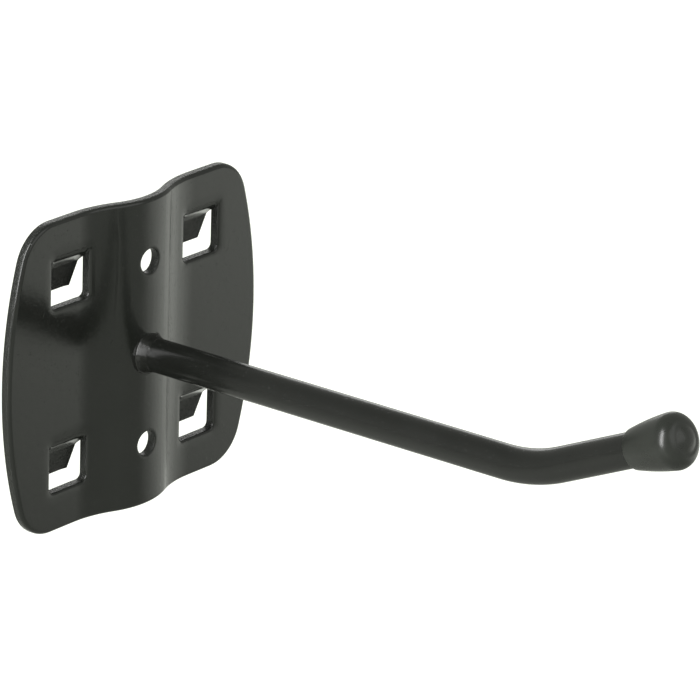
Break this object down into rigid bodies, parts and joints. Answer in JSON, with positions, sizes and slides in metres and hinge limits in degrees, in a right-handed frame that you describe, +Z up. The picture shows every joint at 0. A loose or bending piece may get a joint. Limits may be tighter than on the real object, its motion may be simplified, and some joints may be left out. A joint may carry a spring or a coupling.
{
  "type": "panel tool hook",
  "caption": "Single hook for square-hole panels: stamped plate with lanced hook tabs and a centre ridge, round bar arm turned up at the tip, push-on end cap.",
  "frame": {"origin": "middle of the hook tab pattern, on the plane where the plate's flanges rest on the panel", "axes": "+X right as seen by a person facing the wall, +Y into the wall (the arm points to -Y), +Z up"},
  "size_m": [0.0724, 0.1393, 0.064],
  "materials": {
    "plate_coat": "semi-gloss anthracite powder coat",
    "rod_coat": "semi-gloss anthracite powder coat",
    "weld_coat": "semi-gloss powder coat over a weld bead",
    "cap_plastic": "satin soft plastic"
  },
  "bodies": {
    "root": {"base_plate": "plate_coat", "arm_rod": "rod_coat", "front_weld_bead": "weld_coat", "rear_weld_bead": "weld_coat", "end_cap": "cap_plastic"}
  },
  "joints": []
}
